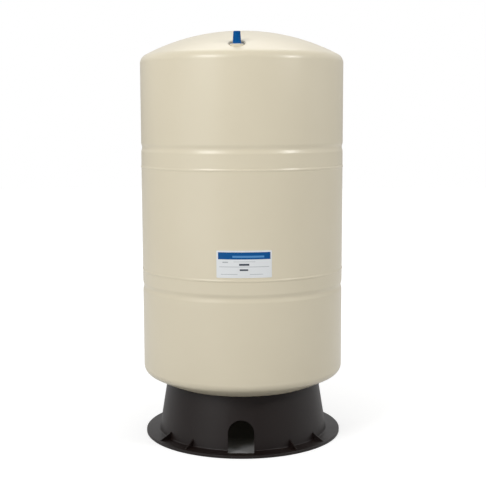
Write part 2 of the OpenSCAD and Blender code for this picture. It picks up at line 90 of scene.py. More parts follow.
# Air valve
washer_low, washer_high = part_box("valve_washer")
VALVE_X = (washer_low.x + washer_high.x) / 2
VALVE_Y = (washer_low.y + washer_high.y) / 2
VALVE = (VALVE_X, VALVE_Y)
SEAT_Z = washer_low.z
STEM_HEX_Z = washer_high.z
WASHER_R = (washer_high.x - washer_low.x) / 2
WASHER_ROUND = 0.3 * MM
BOSS_R = 13.25 * MM
BOSS_EDGE = 0.5 * MM
POCKET_R = 14.25 * MM
POCKET_RIM = 1.8 * MM
BOSS_WALL_R = 16.25 * MM
BOSS_FOOT_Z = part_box("valve_boss")[0].z
SHANK_R = 5 * MM
SHANK_HOLE_R = SHANK_R + FIXED_GAP
STEM_FOOT_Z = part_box("valve_stem")[0].z
STEM_TOP_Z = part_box("valve_stem")[1].z
STEM_HEX_AF = 11 * MM
STEM_HEX_H = 3 * MM
STEM_HEX_CHAMFER = 0.6 * MM
STEM_R = 3.85 * MM
STEM_CHAMFER = 0.5 * MM
STEM_THREAD_PITCH = 0.794 * MM
STEM_THREAD_D = 0.35 * MM
CORE_BORE_R = 2.6 * MM
AIR_BORE_R = 1.2 * MM
SPRING_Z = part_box("core_spring")[0].z
SPRING_TOP_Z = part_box("core_spring")[1].z
SPRING_R = 1.125 * MM
SPRING_WIRE_R = 0.175 * MM
SPRING_TURNS = 4
SPRING_RINGS = 24
SPRING_SIDES = 10

# Valve cap
cap_low, cap_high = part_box("valve_cap")
CAP_FOOT_R = 7.5 * MM
CAP_TOP_R = 6.25 * MM
CAP_BAND_H = 3.5 * MM
CAP_EDGE = 1.2 * MM
CAP_FOOT_EDGE = 0.3 * MM
CAP_FLUTES = 18
FLUTE_R = 0.6 * MM
FLUTE_RUNOUT = 1 * MM
CAP_THREAD_R = 3.95 * MM
CAP_HEX_R = 6.551 * MM
CAP_HEX_H = 3 * MM
CAP_ROOF_GAP = 0.1 * MM
CAP_ROOF_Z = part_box("cap_seal")[1].z + CAP_ROOF_GAP

# Water connection
PIPE_THREAD_PITCH = 2.309 * MM
PIPE_THREAD_D = 1.2 * MM
PIPE_THREAD_LEN = 30 * MM
PIPE_CHAMFER = 1.5 * MM
PIPE_R = 16.625 * MM
NIPPLE_BORE_R = 12.5 * MM
NIPPLE_SHANK_R = 18 * MM
NIPPLE_HOLE_R = NIPPLE_SHANK_R + FIXED_GAP
NIPPLE_SHANK_EDGE = 0.5 * MM
NIPPLE_FLANGE_R = 31 * MM
NIPPLE_FLANGE_T = 5 * MM
nipple_low, nipple_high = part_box("water_nipple")
O_RING_R = 24 * MM
O_RING_SECTION = 3 * MM
NIPPLE_WASHER_EDGE = 0.4 * MM
NIPPLE_NUT_AF = 50 * MM
NIPPLE_NUT_CHAMFER = 1.6 * MM
NUT_SINK_SHARE = 0.4

# Stand
SKIRT_TOP_R = 149.5 * MM
SKIRT_FOOT_R = 165.5 * MM
SKIRT_T = 3.2 * MM
FLANGE_R = 192 * MM
FLANGE_T = 5.5 * MM
FLANGE_BEVEL = 0.8 * MM
FLANGE_LIP = 4.7 * MM
STAND_SEAT_W = 8 * MM
STAND_SEAT_H = 12 * MM
STAND_SEAT_ROUND = 0.3 * MM
STAND_FOOT_ROUND = 0.6 * MM
FLANGE_FOOT_ROUND = 0.2 * MM
FLANGE_LIP_ROUND = 0.3 * MM
SKIRT_FOOT_ROUND = 2.5 * MM
SKIRT_TOP_ROUND = 0.8 * MM
SKIRT_INNER_ROUND = 2 * MM
DOOR_W = 49 * MM
DOOR_H = 61.5 * MM
DOOR_SILL = 10.5 * MM
CUT_PAST = 1 * MM
RIB_PAIRS = 4
RIB_FIRSTS = (33.75, 56.25)
RIB_STEP = 90
RIB_T = 3 * MM
RIB_H = 13.5 * MM
RIB_TOE = 0.5 * MM
RIB_INSET = 4.5 * MM
RIB_EDGE = 0.4 * MM
STAND_TURN = -1.25

# Stand fixings
STUD_COUNT = 3
STUD_FIRST = 60
STUD_STEP = 120
STUD_REACH = 130 * MM
FRONT_STUD = (0, -STUD_REACH)
STUD_R = 3 * MM
STUD_FIT_R = STUD_R + FIXED_GAP
STUD_CHAMFER = 0.6 * MM
STUD_THREAD_PITCH = 1 * MM
STUD_THREAD_D = 0.5 * MM
STUD_NUT_AF = 10 * MM
STUD_NUT_CHAMFER = 0.6 * MM
STUD_WASHER_R = 8 * MM
STUD_WASHER_EDGE = 0.3 * MM
STUD_HOLE_R = 3.4 * MM
LUG_W = 22 * MM
LUG_T = 5 * MM
LUG_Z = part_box("stand_washers")[1].z

# Label
LABEL_W = 100 * MM
LABEL_T = 0.25 * MM
LABEL_CORNER = 1.6 * MM
LABEL_TURN = 1
label_low, label_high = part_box("rating_label")

# Mesh fineness
SHELL_SEGMENTS = 192
STAND_SEGMENTS = 192
SMALL_SEGMENTS = 96
THREAD_ROWS = 8
CROWN_STEPS = 48
KNUCKLE_STEPS = 16
GROOVE_STEPS = 28
BEAD_STEPS = 10
HEX_STEPS = 5
HEX_CHAMFER_ANGLE = math.radians(30)
CAP_ROWS = 24
CAP_EDGE_STEPS = 6
FLUTE_SEGMENTS = 12
ARCH_STEPS = 40
LABEL_CORNER_STEPS = 6
LABEL_FLAT_STEPS = 24
MERGE = 1e-7
TINY = 1e-6
SHARP_ANGLE = math.radians(32)


def dome_z(x, y):
    """Height of the upper head's outer surface over a place."""
    return SHELL_TOP_Z - CROWN_R + math.sqrt(CROWN_R ** 2 - x ** 2 - y ** 2)


def dish_z(x, y):
    """Height of the lower head's outer surface over a place, less the fixing gap."""
    reach = CROWN_R + FIXED_GAP
    return SHELL_LOW_Z + CROWN_R - math.sqrt(reach ** 2 - x ** 2 - y ** 2)


def arc(radius, height, size, start, end, steps):
    """Points of an arc about (radius, height). Angle 0 is straight down and opens outwards."""
    angles = [start + (end - start) * i / steps for i in range(steps + 1)]
    return [(radius + size * math.sin(a), height - size * math.cos(a)) for a in angles]


def even_shares(steps):
    """Even steps from 0 to 1."""
    return [i / steps for i in range(steps + 1)]


def rounded(corners, steps=5):
    """A closed outline of (radius, height, rounding) corners with its corners made arcs."""
    outline = []
    for i, (radius, height, size) in enumerate(corners):
        here = Vector((radius, height))
        if size == 0:
            outline.append((radius, height))
            continue
        before = (Vector(corners[i - 1][:2]) - here).normalized()
        after = (Vector(corners[(i + 1) % len(corners)][:2]) - here).normalized()
        half = before.angle(after) / 2
        centre = here + (before + after).normalized() * size / math.sin(half)
        first = here + before * size / math.tan(half) - centre
        last = here + after * size / math.tan(half) - centre
        start = math.atan2(first.y, first.x)
        sweep = (math.atan2(last.y, last.x) - start + math.pi) % TAU - math.pi
        for step in range(steps + 1):
            a = start + sweep * step / steps
            outline.append((centre.x + size * math.cos(a), centre.y + size * math.sin(a)))
    return outline


def ring_of(shape, radius, height, segments, centre):
    """Adds one ring of an outline point. A radius may be a function of the angle from the
    front, and a height one of the place."""
    if radius == 0:
        return [shape.verts.new((centre[0], centre[1], height))]
    ring = []
    for i in range(segments):
        angle = TAU * i / segments
        reach = radius(angle) if callable(radius) else radius
        x = centre[0] + reach * math.sin(angle)
        y = centre[1] - reach * math.cos(angle)
        z = height(x, y) if callable(height) else height
        ring.append(shape.verts.new((x, y, z)))
    return ring


def bridge(shape, lower, upper):
    """Faces between two rings, either of which may be a single point."""
    count = max(len(lower), len(upper))
    for i in range(count):
        j = (i + 1) % count
        corners = [lower[i % len(lower)], lower[j % len(lower)]]
        corners += [upper[j % len(upper)], upper[i % len(upper)]]
        corners = list(dict.fromkeys(corners))
        if len(corners) > 2:
            shape.faces.new(corners)


def tube(rings):
    """A closed shape along a row of rings of places, with a face over each of its ends."""
    shape = bmesh.new()
    made = [[shape.verts.new(place) for place in ring] for ring in rings]
    for lower, upper in zip(made, made[1:]):
        bridge(shape, lower, upper)
    shape.faces.new(made[0])
    shape.faces.new(made[-1])
    bmesh.ops.recalc_face_normals(shape, faces=shape.faces)
    return shape


def lathe(outline, segments=SMALL_SEGMENTS, centre=(0, 0)):
    """A closed outline of (radius, height) turned about an upright axis."""
    shape = bmesh.new()
    rings = [ring_of(shape, radius, height, segments, centre) for radius, height in outline]
    for lower, upper in zip(rings, rings[1:] + rings[:1]):
        bridge(shape, lower, upper)
    bmesh.ops.remove_doubles(shape, verts=shape.verts, dist=MERGE)
    bmesh.ops.recalc_face_normals(shape, faces=shape.faces)
    return shape


def thread_rows(radius, depth, pitch, low, high):
    """Outline rows of a right-hand screw thread that runs out at both ends."""
    count = round((high - low) / pitch * THREAD_ROWS)
    rows = []
    for i in range(count + 1):
        height = low + (high - low) * i / count
        runout = min(1, (height - low) / pitch, (high - height) / pitch)
        rows.append((thread_radius(radius, depth * runout, height / pitch), height))
    return rows


def thread_radius(radius, depth, turns):
    """Radius of a thread round one of its rows."""
    def at(angle):
        phase = (turns - angle / TAU) % 1
        return radius - depth * abs(2 * phase - 1)
    return at


def hexagon(across_flats, limit):
    """Radius of a hexagon round its axis, held inside a round limit."""
    sixth = TAU / 6
    def at(angle):
        off_flat = (angle + sixth / 2) % sixth - sixth / 2
        return min(limit, across_flats / 2 / math.cos(off_flat))
    return at


def hex_rows(across_flats, chamfer, low, high):
    """Outline rows of a hexagon's side, with its corners chamfered at both ends."""
    corner_r = across_flats / 2 / math.cos(TAU / 12)
    end_r = corner_r - chamfer
    rise = chamfer * math.tan(HEX_CHAMFER_ANGLE)
    rows = []
    for i in range(HEX_STEPS + 1):
        limit = end_r + (corner_r - end_r) * i / HEX_STEPS
        rows.append((hexagon(across_flats, limit), low + rise * i / HEX_STEPS))
    mirrored = [(radius, low + high - height) for radius, height in rows]
    return rows + mirrored[::-1]


def link_object(name, data):
    """Puts a mesh, a lamp or a camera into the scene."""
    obj = bpy.data.objects.new(name, data)
    bpy.context.scene.collection.objects.link(obj)
    return obj


def new_object(shape, name):
    """Makes a bmesh an object at the origin."""
    data = bpy.data.meshes.new(name)
    shape.to_mesh(data)
    shape.free()
    return link_object(name, data)


def bake(obj):
    """Turns an object's modifiers into plain mesh."""
    bpy.context.view_layer.update()
    depsgraph = bpy.context.evaluated_depsgraph_get()
    data = bpy.data.meshes.new_from_object(obj.evaluated_get(depsgraph))
    obj.modifiers.clear()
    obj.data = data


def combine(obj, tool, operation):
    """Joins a tool shape to an object, or cuts it away."""
    modifier = obj.modifiers.new("shape", "BOOLEAN")
    modifier.operation = operation
    modifier.solver = "EXACT"
    modifier.object = tool
    bake(obj)
    bpy.data.objects.remove(tool)


def dress(obj, body, finish, node):
    """Gives a piece its finish, and lets it ride on a body in place of a CAD node."""
    obj.data.materials.clear()
    obj.data.materials.append(finish)
    obj.data.shade_smooth()
    obj.data.set_sharp_from_angle(angle=SHARP_ANGLE)
    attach(obj, body)
    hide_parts(node)
    return obj


def piece(shape, name, finish, node, body="vessel"):
    """Makes a shape a finished piece in place of a CAD node."""
    return dress(new_object(shape, name), body, finish, node)


# Node trees

def new_node(tree, kind, inputs=None, **settings):
    """Adds a node with its settings, and sets or links its inputs."""
    node = tree.nodes.new(kind)
    for name, value in settings.items():
        setattr(node, name, value)
    feed(tree, node, inputs or {})
    return node


def feed(tree, node, inputs):
    """Sets a node's inputs, by name or number, and links those that are given a socket."""
    for name, value in inputs.items():
        if isinstance(value, bpy.types.NodeSocket):
            tree.links.new(value, node.inputs[name])
        else:
            node.inputs[name].default_value = value


def math_value(tree, operation, first, second):
    """What a Math node makes of two sockets or numbers."""
    node = new_node(tree, "ShaderNodeMath", {0: first, 1: second}, operation=operation)
    return node.outputs["Value"]


def map_value(tree, value, start, end, way="LINEAR"):
    """A value carried over from one range to another. The ends may be sockets or numbers."""
    node = new_node(tree, "ShaderNodeMapRange", {
        "Value": value,
        "From Min": start[0],
        "From Max": start[1],
        "To Min": end[0],
        "To Max": end[1],
    }, interpolation_type=way)
    return node.outputs["Result"]


def turned_copies_tree():
    """Geometry nodes that copy a shape round the upright axis in even steps."""
    tree = bpy.data.node_groups.new("turned_copies", "GeometryNodeTree")
    for name, kind in (
        ("Shape", "NodeSocketGeometry"),
        ("Count", "NodeSocketInt"),
        ("First Angle", "NodeSocketFloat"),
        ("Step Angle", "NodeSocketFloat"),
        ("Finish", "NodeSocketMaterial"),
    ):
        tree.interface.new_socket(name, in_out="INPUT", socket_type=kind)
    tree.interface.new_socket("Copies", in_out="OUTPUT", socket_type="NodeSocketGeometry")
    given = new_node(tree, "NodeGroupInput")
    points = new_node(tree, "GeometryNodePoints", {"Count": given.outputs["Count"]})
    index = new_node(tree, "GeometryNodeInputIndex")
    angle = new_node(tree, "ShaderNodeMath", {
        0: index.outputs["Index"],
        1: given.outputs["Step Angle"],
        2: given.outputs["First Angle"],
    }, operation="MULTIPLY_ADD")
    turn = new_node(tree, "ShaderNodeCombineXYZ", {"Z": angle.outputs["Value"]})
    rotation = new_node(tree, "FunctionNodeEulerToRotation", {"Euler": turn.outputs["Vector"]})
    copies = new_node(tree, "GeometryNodeInstanceOnPoints", {
        "Points": points.outputs["Points"],
        "Instance": given.outputs["Shape"],
        "Rotation": rotation.outputs["Rotation"],
    })
    realize = new_node(tree, "GeometryNodeRealizeInstances", {"Geometry": copies.outputs["Instances"]})
    paint = new_node(tree, "GeometryNodeSetMaterial", {
        "Geometry": realize.outputs["Geometry"],
        "Material": given.outputs["Finish"],
    })
    new_node(tree, "NodeGroupOutput", {"Copies": paint.outputs["Geometry"]})
    return tree


def turned_copies(shape, name, count, first, step, finish):
    """Copies of a shape round the stand, as one object. Angles are in degrees from its front."""
    obj = new_object(shape, name)
    modifier = obj.modifiers.new("copies", "NODES")
    modifier.node_group = TURNED_COPIES
    values = {
        "Count": count,
        "First Angle": math.radians(STAND_TURN + first),
        "Step Angle": math.radians(step),
        "Finish": finish,
    }
    for item in TURNED_COPIES.interface.items_tree:
        if item.name in values:
            modifier[item.identifier] = values[item.name]
    bake(obj)
    return obj


# Shader groups

def new_group(name, inputs, outputs):
    """An empty shader group with its input and output nodes. An input is a number, or a colour if
    its usual value is one."""
    group = bpy.data.node_groups.new(name, "ShaderNodeTree")
    for label, value in inputs.items():
        kind = "NodeSocketColor" if isinstance(value, tuple) else "NodeSocketFloat"
        socket = group.interface.new_socket(label, in_out="INPUT", socket_type=kind)
        socket.default_value = value
    for label, kind in outputs.items():
        group.interface.new_socket(label, in_out="OUTPUT", socket_type=kind)
    return group, group.nodes.new("NodeGroupInput"), group.nodes.new("NodeGroupOutput")


def tone_drift_group():
    """A slow drift of colour and gloss over a surface."""
    group, given, result = new_group(
        "tone_drift",
        {"Scale": 8.0, "Pale": (0.8, 0.8, 0.8, 1), "Deep": (0.7, 0.7, 0.7, 1), "Smooth": 0.3, "Rough": 0.4},
        {"Color": "NodeSocketColor", "Roughness": "NodeSocketFloat"},
    )
    place = new_node(group, "ShaderNodeTexCoord")
    noise = new_node(group, "ShaderNodeTexNoise", {
        "Vector": place.outputs["Object"],
        "Scale": given.outputs["Scale"],
        "Detail": 4,
    })
    tone = new_node(group, "ShaderNodeMix", {
        "Factor": noise.outputs["Fac"],
        "A": given.outputs["Pale"],
        "B": given.outputs["Deep"],
    }, data_type="RGBA")
    ends = (given.outputs["Smooth"], given.outputs["Rough"])
    gloss = map_value(group, noise.outputs["Fac"], (0, 1), ends)
    feed(group, result, {"Color": tone.outputs["Result"], "Roughness": gloss})
    return group


def skin_relief_group():
    """Fine relief of a coated, moulded or rubber skin: two sizes of soft bumps."""
    group, given, result = new_group(
        "skin_relief",
        {"Coarse Scale": 200.0, "Fine Scale": 900.0, "Fine Share": 0.3},
        {"Height": "NodeSocketFloat"},
    )
    place = new_node(group, "ShaderNodeTexCoord")
    bumps = []
    for scale in ("Coarse Scale", "Fine Scale"):
        noise = new_node(group, "ShaderNodeTexNoise", {
            "Vector": place.outputs["Object"],
            "Scale": given.outputs[scale],
        })
        bumps.append(noise.outputs["Fac"])
    height = new_node(group, "ShaderNodeMix", {
        "Factor": given.outputs["Fine Share"],
        "A": bumps[0],
        "B": bumps[1],
    })
    feed(group, result, {"Height": height.outputs["Result"]})
    return group


def turning_marks_group():
    """Fine tool marks that run round an upright axis on turned metal."""
    group, given, result = new_group("turning_marks", {"Scale": 3000.0}, {"Height": "NodeSocketFloat"})
    place = new_node(group, "ShaderNodeTexCoord")
    along = new_node(group, "ShaderNodeSeparateXYZ", {"Vector": place.outputs["Object"]})
    noise = new_node(group, "ShaderNodeTexNoise", {
        "W": along.outputs["Z"],
        "Scale": given.outputs["Scale"],
    }, noise_dimensions="1D")
    feed(group, result, {"Height": noise.outputs["Fac"]})
    return group


def printed_block_group():
    """A printed rectangle on the label, as a mask. Places are shares of the label's sides."""
    group, given, result = new_group(
        "printed_block",
        dict.fromkeys(("Across", "Up", "Left", "Right", "Bottom", "Top"), 0.0),
        {"Mask": "NodeSocketFloat"},
    )
    masks = []
    for axis, edge, operation in (
        ("Across", "Left", "GREATER_THAN"),
        ("Across", "Right", "LESS_THAN"),
        ("Up", "Bottom", "GREATER_THAN"),
        ("Up", "Top", "LESS_THAN"),
    ):
        masks.append(math_value(group, operation, given.outputs[axis], given.outputs[edge]))
    mask = masks[0]
    for other in masks[1:]:
        mask = math_value(group, "MULTIPLY", mask, other)
    feed(group, result, {"Mask": mask})
    return group


# Finishes

def new_finish(name):
    """A new material with its node tree and shader."""
    material = bpy.data.materials.new(name)
    material.use_nodes = True
    return material, material.node_tree, material.node_tree.nodes["Principled BSDF"]


def add_drift(tree, shader, scale, pale, deep, smooth, rough):
    """Lets a shader's colour and gloss drift over the surface."""
    drift = new_node(tree, "ShaderNodeGroup", {
        "Scale": scale,
        "Pale": pale,
        "Deep": deep,
        "Smooth": smooth,
        "Rough": rough,
    }, node_tree=TONE_DRIFT)
    feed(tree, shader, {"Base Color": drift.outputs["Color"], "Roughness": drift.outputs["Roughness"]})
    return drift


def add_bump(tree, shader, height, depth):
    """Feeds a height in 0 to 1 into the shader's normal, with a depth in metres."""
    bump = new_node(tree, "ShaderNodeBump", {"Strength": 1, "Distance": depth, "Height": height})
    feed(tree, shader, {"Normal": bump.outputs["Normal"]})


def add_relief(tree, shader, coarse, fine, share, depth):
    """Gives a shader the fine relief of a skin. The share is that of the fine bumps."""
    skin = new_node(tree, "ShaderNodeGroup", {
        "Coarse Scale": coarse,
        "Fine Scale": fine,
        "Fine Share": share,
    }, node_tree=SKIN_RELIEF)
    add_bump(tree, shader, skin.outputs["Height"], depth)


def drifting_skin(name, scale, pale, deep, smooth, rough, coarse, fine, share, depth, specular=0.5):
    """A finish with drifting colour and gloss and a fine relief."""
    material, tree, shader = new_finish(name)
    add_drift(tree, shader, scale, pale, deep, smooth, rough)
    add_relief(tree, shader, coarse, fine, share, depth)
    feed(tree, shader, {"Specular IOR Level": specular})
    return material


def rubber(name, pale, deep):
    """Matt moulded rubber."""
    return drifting_skin(
        name, scale=40, pale=pale, deep=deep, smooth=0.6, rough=0.75,
        coarse=400, fine=1600, share=0.5, depth=0.08 * MM, specular=0.35)


def turned_metal(name, pale, deep, smooth, rough, marks, depth):
    """Metal with fine tool marks round its axis and a slight drift of tone."""
    material, tree, shader = new_finish(name)
    add_drift(tree, shader, METAL_DRIFT_SCALE, pale, deep, smooth, rough)
    lines = new_node(tree, "ShaderNodeGroup", {"Scale": marks}, node_tree=TURNING_MARKS)
    add_bump(tree, shader, lines.outputs["Height"], depth)
    feed(tree, shader, {"Metallic": 1})
    return material


def label_film():
    """White film with a blue heading band, a plain bar in it, a rule and grey field bars."""
    material, tree, shader = new_finish("label_film")
    film = add_drift(
        tree, shader, scale=40, pale=(0.76, 0.78, 0.79, 1), deep=(0.70, 0.72, 0.73, 1),
        smooth=0.3, rough=0.42)
    place = new_node(tree, "ShaderNodeUVMap", uv_map="print")
    shares = new_node(tree, "ShaderNodeSeparateXYZ", {"Vector": place.outputs["UV"]})
    colour = film.outputs["Color"]
    for left, right, bottom, top, ink in LABEL_BLOCKS:
        block = new_node(tree, "ShaderNodeGroup", {
            "Across": shares.outputs["X"],
            "Up": shares.outputs["Y"],
            "Left": left,
            "Right": right,
            "Bottom": bottom,
            "Top": top,
        }, node_tree=PRINTED_BLOCK)
        layer = new_node(tree, "ShaderNodeMix", {
            "Factor": block.outputs["Mask"],
            "A": colour,
            "B": ink,
        }, data_type="RGBA")
        colour = layer.outputs["Result"]
    feed(tree, shader, {"Base Color": colour, "Specular IOR Level": 0.2})
    add_relief(tree, shader, coarse=120, fine=900, share=0.3, depth=0.03 * MM)
    return material


METAL_DRIFT_SCALE = 90
HEADING_INK = (0.001, 0.078, 0.26, 1)
BAR_INK = (0.085, 0.26, 0.53, 1)
DARK_INK = (0.055, 0.065, 0.085, 1)
GREY_INK = (0.42, 0.44, 0.46, 1)
# Left, right, bottom and top edges as shares of the label, and the ink
LABEL_BLOCKS = [
    (0.03, 0.975, 0.68, 0.94, HEADING_INK),
    (0.29, 0.86, 0.745, 0.815, BAR_INK),
    (0.05, 0.95, 0.395, 0.415, GREY_INK),
    (0.41, 0.59, 0.45, 0.52, DARK_INK),
    (0.42, 0.57, 0.26, 0.32, DARK_INK),
    (0.31, 0.70, 0.585, 0.60, GREY_INK),
    (0.11, 0.21, 0.55, 0.59, GREY_INK),
    (0.08, 0.38, 0.12, 0.14, GREY_INK),
    (0.60, 0.84, 0.12, 0.14, GREY_INK),
]

TURNED_COPIES = turned_copies_tree()
TONE_DRIFT = tone_drift_group()
SKIN_RELIEF = skin_relief_group()
TURNING_MARKS = turning_marks_group()
PRINTED_BLOCK = printed_block_group()

# Baked almond powder coat with a faint orange peel
CREAM_PAINT = drifting_skin(
    "cream_paint", scale=7, pale=(0.70, 0.635, 0.485, 1), deep=(0.66, 0.595, 0.450, 1),
    smooth=0.28, rough=0.36, coarse=260, fine=900, share=0.25, depth=0.06 * MM)
# Moulded black plastic with a fine spark-eroded texture
BLACK_PLASTIC = drifting_skin(
    "black_plastic", scale=18, pale=(0.0082, 0.0036, 0.0027, 1), deep=(0.0062, 0.0026, 0.0020, 1),
    smooth=0.42, rough=0.50, coarse=500, fine=1500, share=0.5, depth=0.12 * MM, specular=0.35)
# Blue moulded plastic of the cap
BLUE_PLASTIC = drifting_skin(
    "blue_plastic", scale=60, pale=(0.0005, 0.094, 0.315, 1), deep=(0.0003, 0.078, 0.270, 1),
    smooth=0.28, rough=0.38, coarse=900, fine=2500, share=0.4, depth=0.03 * MM, specular=0.06)
# White moulded plastic of the liner
WHITE_PLASTIC = drifting_skin(
    "white_plastic", scale=12, pale=(0.82, 0.82, 0.80, 1), deep=(0.76, 0.76, 0.74, 1),
    smooth=0.38, rough=0.5, coarse=150, fine=800, share=0.4, depth=0.08 * MM)
# Rubber of the diaphragm and seals, of the washer under the valve and of the gasket in its core
RUBBER = rubber("rubber", (0.022, 0.022, 0.023, 1), (0.014, 0.014, 0.014, 1))
GREY_RUBBER = rubber("grey_rubber", (0.44, 0.46, 0.51, 1), (0.38, 0.40, 0.44, 1))
RED_RUBBER = rubber("red_rubber", (0.36, 0.035, 0.025, 1), (0.29, 0.025, 0.02, 1))
ZINC_STEEL = turned_metal(
    "zinc_steel", pale=(0.64, 0.65, 0.67, 1), deep=(0.52, 0.53, 0.55, 1),
    smooth=0.24, rough=0.4, marks=1800, depth=0.01 * MM)
STAINLESS = turned_metal(
    "stainless", pale=(0.63, 0.62, 0.60, 1), deep=(0.54, 0.53, 0.51, 1),
    smooth=0.2, rough=0.32, marks=2600, depth=0.012 * MM)
BRASS = turned_metal(
    "brass", pale=(0.72, 0.52, 0.22, 1), deep=(0.62, 0.43, 0.17, 1),
    smooth=0.2, rough=0.34, marks=4200, depth=0.006 * MM)
LABEL_FILM = label_film()


# Shell

def head_points(depth, flat):
    """A head's curve at a depth below its outer surface, from the axis to the straight wall, as
    (radius, height above the crown). The middle may be pressed flat out to a radius."""
    size = CROWN_R - depth
    first = math.asin(flat / size)
    points = [(0, CROWN_R - size * math.cos(first))] if flat > 0 else []
    points += arc(0, CROWN_R, size, first, BEND_START, CROWN_STEPS)
    points += arc(BEND_R, HEAD_H, KNUCKLE_R - depth, BEND_START, TAU / 4, KNUCKLE_STEPS)[1:]
    return points


def groove_points(depth, height):
    """The straight wall's curve through a rolled groove."""
    return [(SHELL_R - depth - GROOVE_D / 2 * (1 - math.cos(TAU * u)), height + GROOVE_W * (u - 0.5))
            for u in even_shares(GROOVE_STEPS)]


def bead_points(height, way):
    """One flank of a weld bead, climbing to the seam from below (way 1) or above (way -1)."""
    return [(SHELL_R + BEAD_H / 2 * (1 - math.cos(math.pi * u)), height - way * BEAD_W / 2 * (1 - u))
            for u in even_shares(BEAD_STEPS)]


def cup_outline(cup_h, groove_inset, flat):
    """Closed outline of a drawn cup, measured from its crown."""
    groove_h = cup_h - groove_inset
    outside = head_points(0, flat) + groove_points(0, groove_h) + bead_points(cup_h, 1)
    inside = head_points(SHELL_T, flat) + groove_points(SHELL_T, groove_h)
    inside += [(SHELL_R - SHELL_T, cup_h)]
    return outside + inside[::-1]


def upper_shell():
    """The upper cup, with the hole for the valve's boss."""
    outline = cup_outline(SHELL_TOP_Z - UPPER_SEAM_Z, UPPER_GROOVE_INSET, 0)
    turned = [(r, SHELL_TOP_Z - h) for r, h in outline]
    shell = new_object(lathe(turned, SHELL_SEGMENTS), "painted_upper_shell")
    hole_r = BOSS_WALL_R + FIXED_GAP
    corners = [(0, BOSS_FOOT_Z), (hole_r, BOSS_FOOT_Z), (hole_r, SHELL_TOP_Z), (0, SHELL_TOP_Z)]
    hole = lathe(corners, centre=VALVE)
    combine(shell, new_object(hole, "boss_hole"), "DIFFERENCE")
    dress(shell, "vessel", CREAM_PAINT, "upper_shell")


def middle_shell():
    """The middle cylinder, with half of each weld bead."""
    inner_r = SHELL_R - SHELL_T
    outline = [(inner_r, LOWER_SEAM_Z)]
    outline += bead_points(LOWER_SEAM_Z, -1)[::-1]
    outline += bead_points(UPPER_SEAM_Z, 1)
    outline += [(inner_r, UPPER_SEAM_Z)]
    shape = lathe(outline, SHELL_SEGMENTS)
    piece(shape, "painted_middle_shell", CREAM_PAINT, "middle_shell")


def lower_shell():
    """The lower cup, with its flat and hole for the water connection."""
    outline = cup_outline(LOWER_SEAM_Z - SHELL_LOW_Z, LOWER_GROOVE_INSET, FLAT_R)
    shape = lathe([(max(r, NIPPLE_HOLE_R), SHELL_LOW_Z + h) for r, h in outline], SHELL_SEGMENTS)
    piece(shape, "painted_lower_shell", CREAM_PAINT, "lower_shell")


def diaphragm_points(bowl_depth, clamp_depth):
    """One face of the diaphragm, from the bowl's middle to the top of its clamped band."""
    groove_h = LOWER_SEAM_Z - SHELL_LOW_Z - LOWER_GROOVE_INSET
    clamp_low_h = groove_h - CLAMP_H / 2
    points = head_points(bowl_depth, 0)
    points += [(SHELL_R - bowl_depth, clamp_low_h - BOWL_SHOULDER), (SHELL_R - clamp_depth, clamp_low_h)]
    points += groove_points(clamp_depth, groove_h)
    return points + [(SHELL_R - clamp_depth, groove_h + CLAMP_H / 2)]


def diaphragm():
    """The rubber bowl between air and water, and the band at its rim that is clamped in the groove."""
    outside = diaphragm_points(BOWL_DEPTH, CLAMP_DEPTH)
    inside = diaphragm_points(BOWL_DEPTH + DIAPHRAGM_T, CLAMP_DEPTH + DIAPHRAGM_T)
    shape = lathe([(r, SHELL_LOW_Z + h) for r, h in outside + inside[::-1]], SHELL_SEGMENTS)
    bowl = piece(shape, "rubber_diaphragm", RUBBER, "diaphragm")
    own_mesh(bowl)


# Air valve

def below_dome(level):
    """A height that follows the dome at the depth of the pocket's edge and stops at a level."""
    return lambda x, y: min(dome_z(x, y) - POCKET_RIM, level)


def valve_boss():
    """The boss that carries the valve, level with its seat and set into the slope of the dome."""
    gap_floor = below_dome(SEAT_Z - BOSS_EDGE)
    outline = [
        (SHANK_HOLE_R, BOSS_FOOT_Z),
        (BOSS_WALL_R, BOSS_FOOT_Z),
        (BOSS_WALL_R, dome_z),
        (POCKET_R + POCKET_RIM, dome_z),
        (POCKET_R, below_dome(SHELL_TOP_Z)),
        (POCKET_R, gap_floor),
        (BOSS_R, gap_floor),
        (BOSS_R, SEAT_Z - BOSS_EDGE),
        (BOSS_R - BOSS_EDGE, SEAT_Z),
        (SHANK_HOLE_R, SEAT_Z),
    ]
    shape = lathe(outline, centre=VALVE)
    piece(shape, "painted_valve_boss", CREAM_PAINT, "valve_boss")


def washer_outline(hole_r, outer_r, low, high, hole_edge, outer_edge):
    """Closed outline of a washer with rounded edges."""
    return rounded([
        (hole_r, low, hole_edge), (outer_r, low, outer_edge),
        (outer_r, high, outer_edge), (hole_r, high, hole_edge)])


def valve_washer():
    """The rubber washer under the stem."""
    outline = washer_outline(SHANK_HOLE_R, WASHER_R, SEAT_Z, STEM_HEX_Z, 0, WASHER_ROUND)
    shape = lathe(outline, centre=VALVE)
    piece(shape, "rubber_valve_washer", GREY_RUBBER, "valve_washer")


